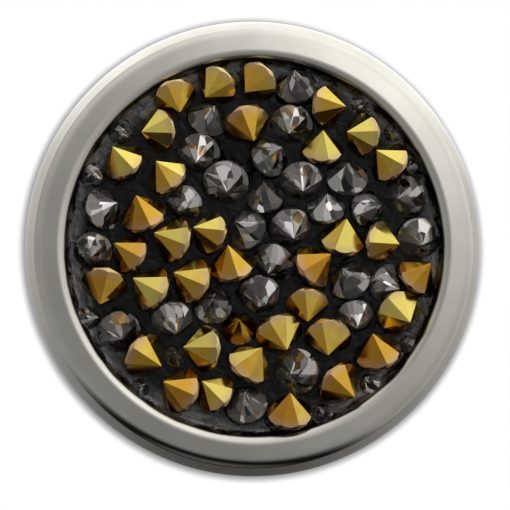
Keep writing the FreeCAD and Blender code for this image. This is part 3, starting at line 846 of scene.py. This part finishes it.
def studioWorld():
    # one broad softbox over the upper right with a smaller lamp in it, a pale card at the upper
    # left, dark flags low in front and at the right edge, and white surroundings behind the badge;
    # the camera itself sees plain white; each At is a turn about the badge's axis and an angle
    # away from it, in degrees
    look = {"most": 1.6, "low": 0.465, "high": 2.62, "turn": 23.4, "from": -0.35, "to": 1.25,
            "card": 0.48, "cardTight": 8.3, "cardAt": (122.7, 70.9),
            "lamp": 0.8, "lampTight": 22.0, "lampAt": (50.7, 33.9),
            "flagTurn": 262.0, "flagFrom": 0.58, "flagTo": 0.86, "flagLeft": 0.03,
            "farFrom": 0.91, "farLeft": 0.42,
            "edge": 0.74, "edgeTight": 1.0, "edgeAt": (336.2, 69.6), "rearFrom": 0.05, "rearTo": 0.4}
    world = bpy.data.worlds.new("studio")
    world.use_nodes = True
    scene.world = world
    tree = world.node_tree
    tree.nodes.clear()
    ray = addNode(tree, "ShaderNodeTexCoord").outputs["Generated"]

    def lobe(kind):
        # a round glow about one direction
        turn, off = (math.radians(angle) for angle in look[kind + "At"])
        tight = look[kind + "Tight"]
        aim = (math.sin(off) * math.cos(turn), -math.cos(off), math.sin(off) * math.sin(turn))
        near = addNode(tree, "ShaderNodeVectorMath", {0: ray, 1: aim}, operation="DOT_PRODUCT")
        power = addNode(tree, "ShaderNodeMath", {0: near.outputs["Value"], 1: tight, 2: -tight},
                        operation="MULTIPLY_ADD")
        fall = addNode(tree, "ShaderNodeMath", {0: power.outputs[0]}, operation="EXPONENT")
        glow = addNode(tree, "ShaderNodeMath", {0: fall.outputs[0], 1: look[kind]}, operation="MULTIPLY")
        return glow.outputs[0]

    def toward(angle):
        # how far a ray heads for one side, -1 to 1
        turn = math.radians(angle)
        slope = addNode(tree, "ShaderNodeVectorMath", {0: ray, 1: (math.cos(turn), 0.0, math.sin(turn))},
                        operation="DOT_PRODUCT")
        return slope.outputs["Value"]

    softbox = addNode(tree, "ShaderNodeMapRange",
                      {"Value": toward(look["turn"]), "From Min": look["from"], "From Max": look["to"],
                       "To Min": look["low"], "To Max": look["high"]}, interpolation_type="SMOOTHSTEP")
    card = addNode(tree, "ShaderNodeMath", {0: softbox.outputs[0], 1: lobe("card")}, operation="ADD")
    lights = addNode(tree, "ShaderNodeMath", {0: card.outputs[0], 1: lobe("lamp")}, operation="ADD")
    low = toward(look["flagTurn"])
    shut = addNode(tree, "ShaderNodeMapRange",
                   {"Value": low, "From Min": look["flagFrom"], "From Max": look["flagTo"],
                    "To Min": 1.0, "To Max": look["flagLeft"]}, interpolation_type="SMOOTHSTEP")
    beyond = addNode(tree, "ShaderNodeMapRange",
                     {"Value": low, "From Min": look["farFrom"], "From Max": 1.0,
                      "To Min": look["flagLeft"], "To Max": look["farLeft"]})
    flag = addNode(tree, "ShaderNodeMath", {0: shut.outputs[0], 1: beyond.outputs[0]}, operation="MAXIMUM")
    edge = addNode(tree, "ShaderNodeMath", {0: 1.0, 1: lobe("edge")}, operation="SUBTRACT")
    flags = addNode(tree, "ShaderNodeMath", {0: flag.outputs[0], 1: edge.outputs[0]}, operation="MULTIPLY")
    uneven = addNode(tree, "ShaderNodeMath", {0: lights.outputs[0], 1: flags.outputs[0]},
                     operation="MULTIPLY")
    shaded = addNode(tree, "ShaderNodeMath", {0: uneven.outputs[0], 1: look["most"]}, operation="MINIMUM")
    axes = addNode(tree, "ShaderNodeSeparateXYZ", {0: ray})
    rear = addNode(tree, "ShaderNodeMapRange",
                   {"Value": axes.outputs[1], "From Min": look["rearFrom"], "From Max": look["rearTo"]},
                   interpolation_type="SMOOTHSTEP")
    studio = addNode(tree, "ShaderNodeMix", {0: rear.outputs[0], 2: shaded.outputs[0], 3: 1.0})
    path = addNode(tree, "ShaderNodeLightPath")
    level = addNode(tree, "ShaderNodeMix", {0: path.outputs["Is Camera Ray"], 2: studio.outputs[0], 3: 1.0})
    sky = addNode(tree, "ShaderNodeBackground", {"Color": (1, 1, 1, 1), "Strength": level.outputs[0]})
    addNode(tree, "ShaderNodeOutputWorld", {"Surface": sky.outputs[0]})


studioWorld()


def makeCamera():
    # a long lens, a little low and to the left of the badge's axis
    look = {"azimuth": -3.1, "elevation": -3.1, "lens": 200.0, "sensor": 36.0, "viewWidthMm": 36.97,
            "aimRight": 0.105, "aimUp": -0.5, "aimHeight": 1.6, "clip": (0.01, 5.0)}
    data = bpy.data.cameras.new("camera")
    camera = newObject("camera", data)
    scene.camera = camera
    data.lens = look["lens"]
    data.sensor_width = look["sensor"]
    distance = look["viewWidthMm"] * look["lens"] / look["sensor"] * mm
    azimuth, elevation = math.radians(look["azimuth"]), math.radians(look["elevation"])
    level = math.cos(elevation)
    back = Vector((math.sin(azimuth) * level, -math.cos(azimuth) * level, math.sin(elevation)))
    turned = (-back).to_track_quat("-Z", "Y")
    right, up = turned @ Vector((1, 0, 0)), turned @ Vector((0, 1, 0))
    aim = Vector((0, -look["aimHeight"], 0)) + right * look["aimRight"] + up * look["aimUp"]
    camera.rotation_mode = "QUATERNION"
    camera.rotation_quaternion = turned
    camera.location = aim * mm + back * distance
    data.clip_start, data.clip_end = look["clip"]


makeCamera()
scene.view_settings.view_transform = "Standard"
print("stage, light and camera made")
